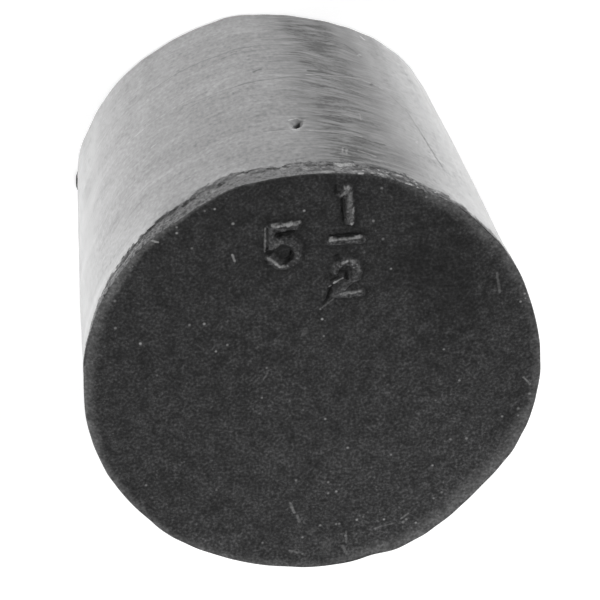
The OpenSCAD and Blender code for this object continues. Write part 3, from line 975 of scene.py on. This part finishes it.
class STOPPER_OT_skin(bpy.types.Operator):
    """Build the stopper's skin, with its size number, trimmed rim and finishes"""

    bl_idname = "stopper.skin"
    bl_label = "Build Skin"

    def execute(self, context):
        look = in_millimetres(context.scene.stopper_skin)
        mesh = skin_mesh(look, [face_finish(look), side_finish(look), torn_finish(look)])
        skin = bpy.data.objects.new("stopper_skin", mesh)
        context.scene.collection.objects.link(skin)
        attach(skin, "root")
        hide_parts("stopper")
        return {"FINISHED"}


class STOPPER_OT_stage(bpy.types.Operator):
    """Lay the floor and set the lights and the camera"""

    bl_idname = "stopper.stage"
    bl_label = "Set Stage"

    def execute(self, context):
        stage = context.scene.stopper_stage
        set_floor(context, stage)
        set_lights(context, stage)
        set_camera(context, stage)
        context.scene.view_settings.view_transform = "Standard"
        return {"FINISHED"}


def set_floor(context, stage):
    """A square floor of plain paper."""
    mesh = bpy.data.meshes.new("floor")
    corners = [(x * FLOOR_HALF, y * FLOOR_HALF, -FLOOR_DROP) for x, y in ((-1, -1), (1, -1), (1, 1), (-1, 1))]
    mesh.from_pydata(corners, [], [(0, 1, 2, 3)])
    material = bpy.data.materials.new("floor_paper")
    f = Finish(material)
    path = f.add("ShaderNodeLightPath", {}).outputs
    background = f.times(path["Is Camera Ray"], stage.floor_lift)
    lift = f.most(background, f.times(path["Is Glossy Ray"], stage.gloss_lift))
    f.set(Base_Color=opaque(stage.floor_colour), Roughness=0.9, Specular_IOR_Level=0.0)
    f.set(Emission_Color=(1, 1, 1, 1), Emission_Strength=lift)
    mesh.materials.append(material)
    floor = bpy.data.objects.new("floor", mesh)
    context.scene.collection.objects.link(floor)
    floor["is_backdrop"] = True


def aim(thing, place, target, roll=0.0):
    """Puts a lamp or camera at place, looking at target, turned about its line of sight."""
    ahead = (Vector(target) - Vector(place)).normalized()
    turn = ahead.to_track_quat("-Z", "Y").to_matrix() @ Matrix.Rotation(roll, 3, "Z")
    thing.matrix_world = Matrix.Translation(place) @ turn.to_4x4()


def from_bearing(bearing, height, distance, target=(0, 0, 0)):
    """The point at a distance from target, in the direction of a bearing and a height in radians."""
    flat = math.cos(height) * distance
    away = Vector((math.sin(bearing) * flat, math.cos(bearing) * flat, math.sin(height) * distance))
    return Vector(target) + away


def set_lights(context, stage):
    """An even light all round, plain white where it is seen straight or in a gloss, and the lamps."""
    context.scene.world = bpy.data.worlds.new("studio")
    f = Finish(context.scene.world, "Background")
    path = f.add("ShaderNodeLightPath", {}).outputs
    seen = f.most(path["Is Camera Ray"], path["Is Glossy Ray"])
    strength = f.add("ShaderNodeMix", {"Factor": seen, "A": stage.sky_light, "B": 1.0}).outputs["Result"]
    f.set(Color=(1, 1, 1, 1), Strength=strength)
    for name, bearing, height, side, power in LAMPS:
        lamp = bpy.data.lights.new(name, "AREA")
        lamp.size = side
        lamp.energy = power * stage.lamp_light
        light = bpy.data.objects.new(name, lamp)
        context.scene.collection.objects.link(light)
        place = from_bearing(math.radians(bearing), math.radians(height), LAMP_DISTANCE)
        aim(light, place, (0, 0, LENGTH / 2 * MM))


def set_camera(context, stage):
    """The camera, in the direction and at the distance that the settings give."""
    data = bpy.data.cameras.new("camera")
    data.lens = stage.lens
    camera = bpy.data.objects.new("camera", data)
    context.scene.collection.objects.link(camera)
    place = from_bearing(stage.view_bearing, stage.view_height, stage.view_distance, stage.view_target)
    aim(camera, place, stage.view_target, stage.view_roll)
    context.scene.camera = camera


class STOPPER_PT_panel(bpy.types.Panel):
    """Stopper builders and their settings"""

    bl_label = "Rubber Stopper"
    bl_idname = "STOPPER_PT_panel"
    bl_space_type = "VIEW_3D"
    bl_region_type = "UI"
    bl_category = "Stopper"

    def draw(self, context):
        for operator, settings in (
            (STOPPER_OT_skin, context.scene.stopper_skin),
            (STOPPER_OT_stage, context.scene.stopper_stage),
        ):
            box = self.layout.box()
            box.operator(operator.bl_idname)
            for item in settings.bl_rna.properties:
                if item.identifier not in ("rna_type", "name"):
                    box.prop(settings, item.identifier)


CLASSES = (StopperSkinSettings, StopperStageSettings, STOPPER_OT_skin, STOPPER_OT_stage, STOPPER_PT_panel)


def register():
    for item in CLASSES:
        bpy.utils.register_class(item)
    bpy.types.Scene.stopper_skin = PointerProperty(type=StopperSkinSettings)
    bpy.types.Scene.stopper_stage = PointerProperty(type=StopperStageSettings)


def unregister():
    del bpy.types.Scene.stopper_stage
    del bpy.types.Scene.stopper_skin
    for item in reversed(CLASSES):
        bpy.utils.unregister_class(item)


def main():
    register()
    bpy.ops.stopper.skin()
    bpy.ops.stopper.stage()
    sizes = {"cad": CAD_BOUNDS, "visual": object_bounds()}
    sizes = {name: [list(corner) for corner in corners] for name, corners in sizes.items()}


if __name__ == "__main__":
    main()
